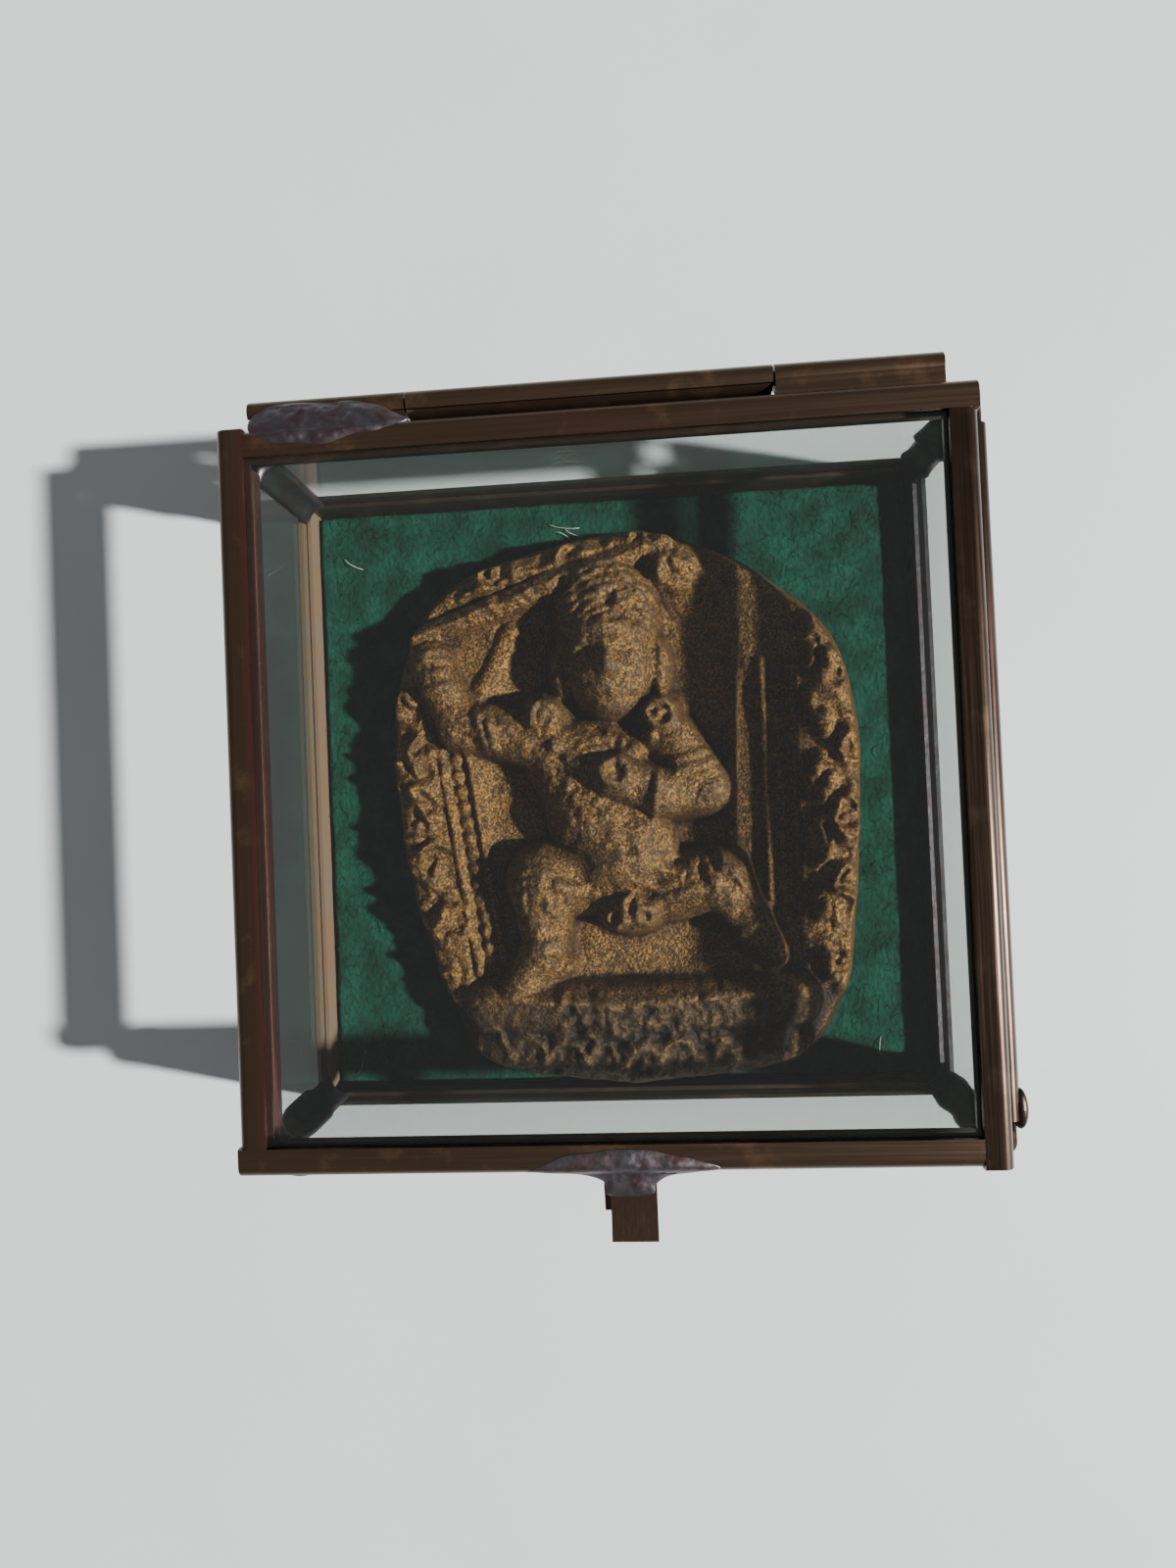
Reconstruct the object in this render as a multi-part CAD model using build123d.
from build123d import *
import os

# A glazed amulet box: a hinged glass casket edged with folded brass channel, lined with felt,
# with a votive relief plaque inside. Millimetres, +Z up, +X to the right, +Y towards the hinge.
# The layout is centred on the case. The finished pieces are then moved together, so that the
# origin is under the middle of the whole box, on the surface that it stands on.

# Stock: window glass and brass sheet, folded round the glass edges
glass = 2.0
sheet = 0.45
seat_gap = 0.05
back_round = 1.2
rail_depth = 2.9
top_rail_depth = 2.0
rail_width = glass + 2 * seat_gap + 2 * sheet

# Case
case_width = 77.2
case_depth = 76.2
case_height = 21.8
base_rail_height = 5.8
floor_ledge = 1.5
rail_setback = 0.9
post_leg = 4.0
pane_corner_gap = 0.05
solder_gap = 0.02

# Lid, a little narrower than the case and set off to the left, as the hand-made one is
lid_inset_x = 2.2
lid_inset_y = 1.4
lid_shift_x = -0.9
lid_shift_y = -0.1
lid_gap = 0.15
corner_plug_length = 0.9
corner_plug_proud = 0.3

# Hinge: a wire pin in three rolled tubes
pin_radius = 0.65
pin_clearance = 0.05
barrel_radius = 1.3
knuckle_radius = 1.3
barrel_length = 36.6
hinge_end_margin = 2.8
hinge_gap = 0.2
hinge_shift_x = 0.2
hinge_rise = 0.5
leaf_drop = 3.4
leaf_film = 0.15
seam_width = 0.14
seam_turn = 50
pin_inset = 0.6

# Lift tab: a strip folded double at its root, with a flared lip
tab_width = 4.6
tab_shift_x = 1.5
tab_reach = 5.1
tab_fall = 1.3
lip_reach = 2.3
lip_rise = 0.5
tab_under_shift = 0.6

# Solder
lump_length = 2.0
lump_proud = 0.8
hinge_solder_top = 0.4
hinge_solder_radius = 2.6
tab_solder_length = 19.0
tab_solder_radius = 1.9
tab_solder_top = 0.3
tab_neck_length = 3.2
tab_neck_radius = 1.6

# Lining and plaque. The relief's masses are drawn for a plaque of the drawn width and height.
felt_thickness = 1.0
felt_gap = 0.3
plaque_left_gap = 9.1
plaque_right_gap = 6.7
plaque_front_gap = 0.3
plaque_back_gap = 4.7
drawn_width = 55.4
drawn_height = 65.2
plaque_rim = 4.3
plaque_foot_share = 0.97
plaque_top_share = 0.94
field_half_width = 16.5
field_half_height = 22.5
field_shift_y = 2.0
field_depth = 0.9
flame_count = 28
flame_share = 0.82
flame_radius = 3.0
flame_top = 5.7
flame_floor = -20.0

# Worked out from the sizes above
half_rail = rail_width / 2
lid_width = case_width - lid_inset_x
lid_depth = case_depth - lid_inset_y
knuckle_length = (lid_width - 2 * hinge_end_margin - barrel_length - 2 * hinge_gap) / 2
wall_outside = sheet + seat_gap
wall_inside = wall_outside + glass
lid_bottom = case_height + lid_gap
lid_middle = lid_bottom + half_rail
lid_top = lid_bottom + rail_width
lid_front = lid_shift_y - lid_depth / 2
lid_back = lid_shift_y + lid_depth / 2
hinge_y = case_depth / 2 + leaf_film + barrel_radius
hinge_z = lid_bottom + hinge_rise
hinge_x = lid_shift_x + hinge_shift_x
bore_radius = pin_radius + pin_clearance
inside_width = case_width - 2 * rail_width
inside_depth = case_depth - 2 * rail_width
plaque_width = inside_width - plaque_left_gap - plaque_right_gap
plaque_height = inside_depth - plaque_front_gap - plaque_back_gap
stretch_x = plaque_width / drawn_width
stretch_y = plaque_height / drawn_height
floor_top = sheet + glass
felt_top = floor_top + felt_thickness
post_top = case_height - top_rail_depth

# Each side: how far its front-facing copy turns about Z, its length and its distance from the middle
case_sides = {
    "front": (0, case_width, case_depth / 2),
    "right": (90, case_depth, case_width / 2),
    "back": (180, case_width, case_depth / 2),
    "left": (270, case_depth, case_width / 2),
}
lid_sides = {
    "front": (0, lid_width, lid_depth / 2),
    "right": (90, lid_depth, lid_width / 2),
    "back": (180, lid_width, lid_depth / 2),
    "left": (270, lid_depth, lid_width / 2),
}
# The corner at the right-hand end of each side
corner_names = {"front": "front_right", "right": "back_right", "back": "back_left", "left": "front_left"}

nodes = {}


def rounded_bar(depth):
    """Outline of a channel: its back at X = 0 with two rounded corners, its mouth at X = depth."""
    bar = Pos(depth / 2, 0) * Rectangle(depth, rail_width)
    return fillet(bar.vertices().sort_by(Axis.X)[:2], back_round)


def channel(depth):
    """Section of a channel: the outline less a slot for the glass, with rounded slot corners."""
    slot_depth = depth - sheet
    slot = Pos(sheet + slot_depth / 2, 0) * Rectangle(slot_depth, rail_width - 2 * sheet)
    slot = fillet(slot.vertices().sort_by(Axis.X)[:2], back_round - sheet)
    return rounded_bar(depth) - slot


def base_channel():
    """Section of a base rail: a channel with only its outer corner rounded, and a floor ledge."""
    height = base_rail_height
    slot_height = height - sheet
    bar = Pos(height / 2, 0) * Rectangle(height, rail_width)
    bar = fillet(bar.vertices().sort_by(Axis.X)[:2].sort_by(Axis.Y)[-1], back_round)
    slot = Pos(sheet + slot_height / 2, 0) * Rectangle(slot_height, rail_width - 2 * sheet)
    slot = fillet(slot.vertices().sort_by(Axis.X)[:2].sort_by(Axis.Y)[-1], back_round - sheet)
    ledge = Pos(sheet / 2, -half_rail - floor_ledge / 2) * Rectangle(sheet, floor_ledge)
    return bar - slot + ledge


def laid_along_x(section, start_x, end_x, y, z, depth_direction):
    """A section run from start_x to end_x, with its own X turned into depth_direction."""
    seat = Plane(origin=(start_x, y, z), x_dir=depth_direction, z_dir=(1, 0, 0))
    return extrude(seat * section, amount=end_x - start_x)


def tube(radius, start_x, end_x):
    """A round bar on the hinge axis."""
    seat = Plane(origin=(start_x, hinge_y, hinge_z), x_dir=(0, 1, 0), z_dir=(1, 0, 0))
    return extrude(seat * Circle(radius), amount=end_x - start_x)


def spheroid(half_length, radius):
    """A ball stretched along X: a half ellipse turned about that axis."""
    half_face = Ellipse(half_length, radius) & Pos(0, radius / 2) * Rectangle(2 * half_length, radius)
    return revolve(half_face, Axis.X)


def block(x_range, y_range, z_range):
    """A box between two corners."""
    lengths = [high - low for low, high in (x_range, y_range, z_range)]
    middle = [(low + high) / 2 for low, high in (x_range, y_range, z_range)]
    return Pos(*middle) * Box(*lengths)


def build_walls():
    """Four wall panes, with their base rails, top rails and corner posts."""
    rounded_base = extrude(RectangleRounded(case_width, case_depth, back_round), base_rail_height)
    seams = []
    lumps = []
    for side, (turn, length, reach) in case_sides.items():
        turned = Rot(0, 0, turn)
        half = length / 2
        pane_end = half - wall_inside - pane_corner_gap
        pane = block(
            (-pane_end, pane_end),
            (-reach + wall_outside, -reach + wall_inside),
            (back_round, case_height - back_round),
        )
        nodes[side + "_pane"] = turned * pane

        base = laid_along_x(base_channel(), -half, half, -reach + half_rail, 0, (0, 0, 1))
        mitre_run = rail_width + floor_ledge
        mitre = Polyline(
            (-half, -reach),
            (half, -reach),
            (half - mitre_run, -reach + mitre_run),
            (-half + mitre_run, -reach + mitre_run),
            close=True,
        )
        mitred = base & extrude(make_face(mitre), base_rail_height)
        nodes["base_rail_" + side] = (turned * mitred) & rounded_base

        rail_end = half - rail_width - rail_setback
        rail_y = -reach + half_rail
        top = laid_along_x(channel(top_rail_depth), -rail_end, rail_end, rail_y, case_height, (0, 0, -1))
        nodes["top_rail_" + side] = turned * top

        post = corner_post(half, reach)
        nodes["corner_post_" + corner_names[side]] = turned * post
        seams.append(turned * corner_seam(half, reach))
        lumps.append(turned * rail_end_lump(half, reach, rail_end))
    nodes["corner_solder_seams"] = Compound(seams)
    nodes["rail_end_solder"] = Compound(lumps)


def corner_post(half, reach):
    """A folded angle strip round the outside of the right-hand corner, between base and top rails."""
    leg = post_leg
    outer = Polyline(
        (half - leg, -reach),
        (half, -reach),
        (half, -reach + leg),
        (half - sheet, -reach + leg),
        (half - sheet, -reach + sheet),
        (half - leg, -reach + sheet),
        close=True,
    )
    section = make_face(outer)
    corner_points = section.vertices()
    outer_corner = corner_points.sort_by_distance((half, -reach))[0]
    section = fillet(outer_corner, back_round)
    inner_corner = section.vertices().sort_by_distance((half - sheet, -reach + sheet))[0]
    section = fillet(inner_corner, back_round - sheet)
    return Pos(0, 0, base_rail_height) * extrude(section, post_top - base_rail_height)


def corner_seam(half, reach):
    """The solder core in the notch between two panes' upright edges, behind the corner post."""
    size = glass - 2 * solder_gap
    core = Pos(half - wall_outside - glass / 2, -reach + wall_outside + glass / 2) * Rectangle(size, size)
    outer_corner = core.vertices().sort_by_distance((half, -reach))[0]
    core = fillet(outer_corner, back_round - sheet)
    return Pos(0, 0, back_round) * extrude(core, post_top - back_round)


def rail_end_lump(half, reach, rail_end):
    """A lump of solder on the outside of a top rail's left-hand end."""
    lump = Pos(-rail_end + lump_length / 2, -reach, case_height - top_rail_depth / 2)
    lump = lump * spheroid(lump_length, lump_proud)
    blank = laid_along_x(
        rounded_bar(top_rail_depth), -rail_end, rail_end, -reach + half_rail, case_height, (0, 0, -1)
    )
    outside = block(
        (-half, half), (-reach - lump_proud, -reach + wall_outside), (post_top, case_height)
    )
    return (lump & outside) - blank


def build_floor():
    """The floor pane on the base rails' ledges, and the felt that covers it."""
    pane = Box(inside_width - 2 * seat_gap, inside_depth - 2 * seat_gap, glass)
    nodes["floor_pane"] = Pos(0, 0, sheet + glass / 2) * pane
    felt = Box(inside_width - 2 * felt_gap, inside_depth - 2 * felt_gap, felt_thickness)
    nodes["felt_lining"] = Pos(0, 0, floor_top + felt_thickness / 2) * felt


def build_lid():
    """The lid pane in four channels. Each rail covers the corner at its left and butts at its right."""
    at_lid = Pos(lid_shift_x, lid_shift_y, 0)
    pane = Box(lid_width - 2 * back_round, lid_depth - 2 * back_round, glass)
    nodes["lid_pane"] = at_lid * Pos(0, 0, lid_middle) * pane
    plugs = []
    for side, (turn, length, reach) in lid_sides.items():
        turned = at_lid * Rot(0, 0, turn)
        half = length / 2
        rail = laid_along_x(channel(rail_depth), -half, half - rail_depth, -reach, lid_middle, (0, 1, 0))
        nodes["lid_rail_" + side] = turned * rail
        plugs.append(turned * corner_plug(half, reach))
    nodes["lid_corner_solder"] = Compound(plugs)


def corner_plug(half, reach):
    """Solder that closes the open left-hand end of a lid rail, standing a little proud."""
    width = rail_width - 2 * sheet - 2 * solder_gap
    depth = rail_depth - sheet - 2 * solder_gap
    face = Pos(sheet + solder_gap + depth / 2, 0) * Rectangle(depth, width)
    face = fillet(face.vertices().sort_by(Axis.X)[:2], back_round - sheet)
    start = -half - corner_plug_proud
    plug = laid_along_x(face, start, -half + corner_plug_length, -reach, lid_middle, (0, 1, 0))
    outer_edges = plug.faces().sort_by(Axis.X)[0].edges()
    return fillet(outer_edges, corner_plug_proud)


def build_hinge():
    """The barrel and its leaf on the case, the pin, and two knuckles soldered to the lid's back rail."""
    barrel_start = hinge_x - barrel_length / 2
    barrel_end = hinge_x + barrel_length / 2
    left_end = barrel_start - hinge_gap
    left_start = left_end - knuckle_length
    right_start = barrel_end + hinge_gap
    right_end = right_start + knuckle_length

    bore = tube(bore_radius, left_start, right_end)
    leaf_y = case_depth / 2 + leaf_film
    leaf = block((barrel_start, barrel_end), (leaf_y, leaf_y + sheet), (hinge_z - leaf_drop, hinge_z))
    barrel = tube(barrel_radius, barrel_start, barrel_end) + leaf - bore
    nodes["hinge_barrel"] = barrel - rolled_seam(barrel_radius, barrel_start, barrel_end)
    nodes["hinge_pin"] = tube(pin_radius, left_start + pin_inset, right_end - pin_inset)

    film_top = case_height - back_round
    film = block((barrel_start, barrel_end), (case_depth / 2, leaf_y), (hinge_z - leaf_drop, film_top))
    nodes["solder_hinge_barrel"] = film

    for name, start, end in (("left", left_start, left_end), ("right", right_start, right_end)):
        knuckle = tube(knuckle_radius, start, end) - bore
        nodes["hinge_knuckle_" + name] = knuckle - rolled_seam(knuckle_radius, start, end)
        nodes["solder_hinge_" + name] = knuckle_solder(name, start, end)


def rolled_seam(radius, start_x, end_x):
    """The thin gap where a rolled tube's edge meets itself, on the side of the lid, above."""
    gap = block((start_x, end_x), (-radius, -bore_radius / 2), (-seam_width / 2, seam_width / 2))
    return Pos(0, hinge_y, hinge_z) * Rot(-seam_turn, 0, 0) * gap


def knuckle_solder(name, start, end):
    """Solder in the groove between a knuckle and the lid's back rail. On the left it laps over both."""
    groove = block((start, end), (lid_back - back_round, hinge_y), (hinge_z, hinge_z + back_round))
    if name == "left":
        cap_z = lid_top + hinge_solder_top - hinge_solder_radius
        cap = Pos((start + end) / 2, lid_back, cap_z) * spheroid(knuckle_length / 2, hinge_solder_radius)
        over = block((start, end), (lid_back - rail_depth, hinge_y), (hinge_z, lid_top + rail_width))
        groove = groove + (cap & over)
    bar = rounded_bar(rail_depth)
    blank = laid_along_x(bar, start, end, lid_back, lid_middle, (0, -1, 0))
    return groove - blank - tube(knuckle_radius, start, end)


def build_tab():
    """The lift tab on the lid's front rail, and the solder that holds it."""
    tab_x = lid_shift_x + tab_shift_x
    root = (lid_front, lid_middle + sheet / 2)
    crease = (lid_front - tab_reach, root[1] - tab_fall)
    tip = (crease[0] - lip_reach, crease[1] + lip_rise)
    upper = strip((root, crease, tip), tab_x)
    under_root = (root[0] - back_round / 2, root[1] - sheet - tab_fall * back_round / 2 / tab_reach)
    under_tip = (crease[0] + sheet, crease[1] - sheet + tab_fall * sheet / tab_reach)
    under = strip((under_root, under_tip), tab_x - tab_under_shift)
    tab = upper + under
    nodes["lift_tab"] = tab

    pool_start = tab_x - tab_solder_length
    pool_end = tab_x + tab_solder_length
    blank = laid_along_x(rounded_bar(rail_depth), pool_start, pool_end, lid_front, lid_middle, (0, 1, 0))
    pool_z = lid_top + tab_solder_top - tab_solder_radius
    pool = Pos(tab_x, lid_front + back_round / 2, pool_z) * spheroid(tab_solder_length / 2, tab_solder_radius)
    neck = Pos(tab_x, lid_front, root[1] - tab_neck_radius / 2) * Rot(0, 0, 90)
    neck = neck * spheroid(tab_neck_length, tab_neck_radius)
    above = block(
        (pool_start, pool_end),
        (lid_front - tab_reach, lid_front + rail_depth),
        (lid_middle, lid_top + rail_width),
    )
    nodes["solder_lift_tab"] = ((pool + neck) & above) - blank - tab - slope_below_tab(root, crease, tab_x)


def slope_below_tab(root, crease, tab_x):
    """The space under the tab's upper face, which its solder stays out of."""
    run = crease[0] - root[0]
    far = (root[0] + run, root[1] - tab_fall)
    near = (root[0] - run, root[1] + tab_fall)
    points = (near, far, (far[0], 0), (near[0], 0))
    face = make_face(Polyline(*[(tab_x, y, z) for y, z in points], close=True))
    return extrude(face, tab_width / 2, dir=(1, 0, 0), both=True)


def strip(points, middle_x):
    """A flat strip of sheet bent at the given points in Y and Z, its top face on the points."""
    top = [(middle_x, y, z) for y, z in points]
    bottom = [(middle_x, y, z - sheet) for y, z in reversed(points)]
    face = make_face(Polyline(*top, *bottom, close=True))
    return extrude(face, tab_width / 2, dir=(1, 0, 0), both=True)


# The plaque's outline from its top, clockwise, in shares of its half width and half height
outline_shares = (
    (0.0, 1.0),
    (0.43, 0.91),
    (0.67, 0.78),
    (0.9, 0.59),
    (1.0, 0.28),
    (0.99, -0.06),
    (0.95, -0.41),
    (0.88, -0.71),
    (0.65, -0.93),
    (0.0, -1.0),
    (-0.63, -0.91),
    (-0.8, -0.69),
    (-0.92, -0.38),
    (-1.0, 0.02),
    (-1.0, 0.38),
    (-0.9, 0.67),
    (-0.65, 0.87),
)

# The relief's limbs, each a chain of round joints: x, y, height of the top over the felt, and radius
sword = ((-22.4, 20.8, 6.0, 1.3), (-8.0, 25.6, 6.6, 1.7), (5.4, 30.0, 6.2, 1.3))
lotus_roll = ((-16.6, -22.4, 7.4, 3.0), (-2.0, -23.4, 8.2, 3.4), (18.4, -22.4, 7.2, 3.0))
bolster = ((-14.6, -26.2, 6.2, 4.0), (0.0, -27.0, 7.0, 4.5), (16.4, -26.2, 6.0, 3.9))
trunk = ((-5.6, 4.6, 8.2, 5.4), (-3.6, -1.0, 8.9, 5.8), (-0.6, -4.8, 9.9, 6.6))
kneeling_thigh = ((-4.8, -8.2, 7.6, 4.2), (-9.6, -8.4, 9.2, 4.7))
kneeling_shin = ((-9.8, -9.4, 9.0, 4.0), (-9.9, -15.8, 7.8, 2.5), (-13.2, -20.2, 7.6, 1.8))
outer_thigh = ((4.6, -9.4, 7.8, 4.0), (10.4, -8.6, 8.8, 3.5))
outer_shin = ((10.6, -9.2, 8.6, 3.2), (13.6, -13.8, 7.4, 2.4), (16.0, -17.2, 7.0, 1.7))
sword_arm = (
    (-8.8, 7.2, 8.2, 3.3),
    (-15.0, 9.4, 7.7, 2.9),
    (-18.9, 9.8, 7.4, 2.7),
    (-20.8, 14.6, 7.5, 2.3),
    (-21.7, 17.5, 7.9, 2.5),
)
other_arm = ((5.0, 8.0, 8.4, 3.0), (9.0, 1.8, 8.9, 2.9), (4.0, 1.4, 9.9, 2.5), (-1.2, 3.4, 10.8, 2.3))
limbs = (
    sword,
    lotus_roll,
    bolster,
    trunk,
    kneeling_thigh,
    kneeling_shin,
    outer_thigh,
    outer_shin,
    sword_arm,
    other_arm,
)

# The relief's oval masses: x, y, height of the top over the felt, half length, radius, and turn of the length
head = (-1.2, 16.4, 11.2, 6.7, 5.3, 90)
hair = (-1.4, 21.6, 9.6, 7.0, 6.2, 90)
chest = (-3.0, 4.8, 8.2, 8.8, 5.4, -8)
sash_knot = (0.2, -12.0, 8.4, 3.6, 2.3, 0)
tip_scroll = (6.2, 27.0, 6.4, 3.4, 3.0, 0)
left_ear_ring = (-8.8, 10.6, 8.1, 2.8, 2.5, 0)
right_ear_ring = (4.2, 10.2, 8.1, 2.8, 2.5, 0)
ovals = (head, hair, chest, sash_knot, tip_scroll, left_ear_ring, right_ear_ring)


def plaque_curve(share):
    """The plaque's closed outline as a curve, drawn in to a share of its size."""
    points = [(share * x * plaque_width / 2, share * y * plaque_height / 2) for x, y in outline_shares]
    return Spline(*points, periodic=True)


def plaque_section(share, height):
    """A flat section of the plaque's slab: its outline, drawn in to a share, at a height."""
    return Pos(0, 0, height) * make_face(plaque_curve(share))


def ball(x, y, top, radius):
    """A round mass of the relief, placed by the height of its top."""
    return Pos(stretch_x * x, stretch_y * y, top - radius) * Sphere(radius)


def oval(x, y, top, half_length, radius, turn):
    """An oval mass of the relief, placed by the height of its top, its length turned from X."""
    return Pos(stretch_x * x, stretch_y * y, top - radius) * Rot(0, 0, turn) * spheroid(half_length, radius)


def tapered(start, end):
    """The tapered run between two round joints of a limb."""
    base = Vector(stretch_x * start[0], stretch_y * start[1], start[2] - start[3])
    along = Vector(stretch_x * end[0], stretch_y * end[1], end[2] - end[3]) - base
    bone = Cone(start[3], end[3], along.length, align=(Align.CENTER, Align.CENTER, Align.MIN))
    return Plane(origin=base, z_dir=along) * bone


def build_plaque():
    """The votive plaque: a slab with a sunk field, flames round its band, a lotus seat and the figure."""
    slab = loft(
        [
            plaque_section(plaque_foot_share, 0),
            plaque_section(1, plaque_rim / 2),
            plaque_section(plaque_top_share, plaque_rim),
        ]
    )
    field = Ellipse(stretch_x * field_half_width, stretch_y * field_half_height)
    field = Pos(0, stretch_y * field_shift_y, plaque_rim - field_depth) * extrude(field, plaque_rim)
    above_felt = block(
        (-plaque_width, plaque_width), (-plaque_height, plaque_height), (0, plaque_height)
    )
    masses = [oval(*mass) for mass in ovals]
    for joints in limbs:
        masses += [ball(*joint) for joint in joints]
        masses += [tapered(start, end) for start, end in zip(joints, joints[1:])]
    relief = slab - field
    for mass in masses:
        relief = relief + (mass & above_felt)
    band = plaque_curve(flame_share)
    places = [band.position_at(number / flame_count) for number in range(flame_count)]
    flame = Pos(0, 0, flame_top - flame_radius) * Sphere(flame_radius)
    flame = flame & above_felt
    relief = relief + [Pos(place) * flame for place in places if place.Y > stretch_y * flame_floor]
    plaque_x = (plaque_left_gap - plaque_right_gap) / 2
    plaque_y = (plaque_front_gap - plaque_back_gap) / 2
    nodes["votive_plaque"] = Pos(plaque_x, plaque_y, felt_top) * relief


build_walls()
build_floor()
build_plaque()
build_lid()
build_hinge()
build_tab()

boxes = [piece.bounding_box() for piece in nodes.values()]
lows = [min(tuple(box.min)[axis] for box in boxes) for axis in range(3)]
highs = [max(tuple(box.max)[axis] for box in boxes) for axis in range(3)]
to_origin = Pos(-(lows[0] + highs[0]) / 2, -(lows[1] + highs[1]) / 2, -lows[2])

os.makedirs("parts", exist_ok=True)
for name, piece in nodes.items():
    export_step(to_origin * piece, "parts/" + name + ".step")

print("size", [round(high - low, 3) for low, high in zip(lows, highs)])
print("origin shift", [round(v, 3) for v in to_origin.position])
print("hinge axis y, z", round(hinge_y + to_origin.position.Y, 3), round(hinge_z, 3))
